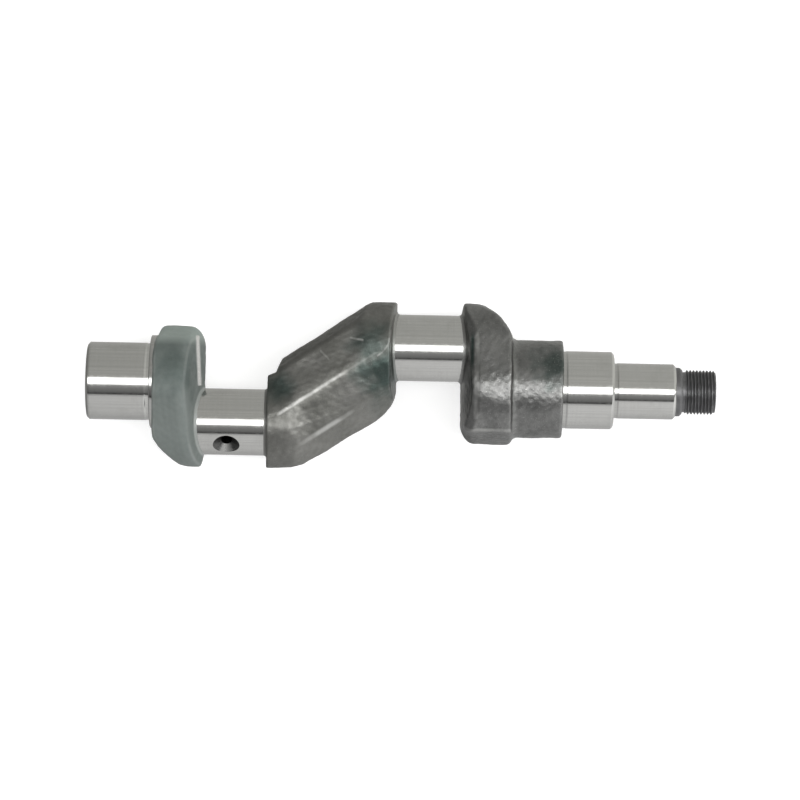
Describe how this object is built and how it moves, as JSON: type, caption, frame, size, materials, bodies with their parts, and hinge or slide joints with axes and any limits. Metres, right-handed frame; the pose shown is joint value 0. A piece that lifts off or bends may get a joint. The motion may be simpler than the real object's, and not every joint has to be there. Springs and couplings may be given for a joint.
{
  "type": "crankshaft",
  "caption": "Two-throw 180 degree crankshaft with a slanted middle web, counterweighted outer webs, ground journals, forged hub, drive seat and threaded end.",
  "frame": {"origin": "on the crank axis, at the middle of the left main journal's ground length", "axes": "+X along the crank axis towards the threaded end; the throws lie in the XY plane, crankpin 1 towards -Y and crankpin 2 towards +Y; +Z square to the throws"},
  "size_m": [0.283, 0.0762, 0.0512],
  "materials": {
    "ground_steel": "ground and polished bright, fine marks round the axis",
    "forged_steel": "as forged and shot-blasted, dark grey-green scale, worn bright on raised edges",
    "blackened_steel": "machined and blackened, satin",
    "plug_steel": "turned steel, phosphated"
  },
  "bodies": {
    "root": {"left_main_journal": "ground_steel", "left_thrust_collar": "ground_steel", "left_web": "forged_steel", "left_counterweight": "forged_steel", "crankpin_1": "ground_steel", "middle_web": "forged_steel", "crankpin_2": "ground_steel", "right_web": "forged_steel", "right_counterweight": "forged_steel", "hub": "forged_steel", "right_main_journal": "ground_steel", "drive_seat": "ground_steel", "thread_neck": "blackened_steel", "threaded_end": "blackened_steel", "gallery_plug_1": "plug_steel", "gallery_plug_2": "plug_steel"}
  },
  "joints": []
}
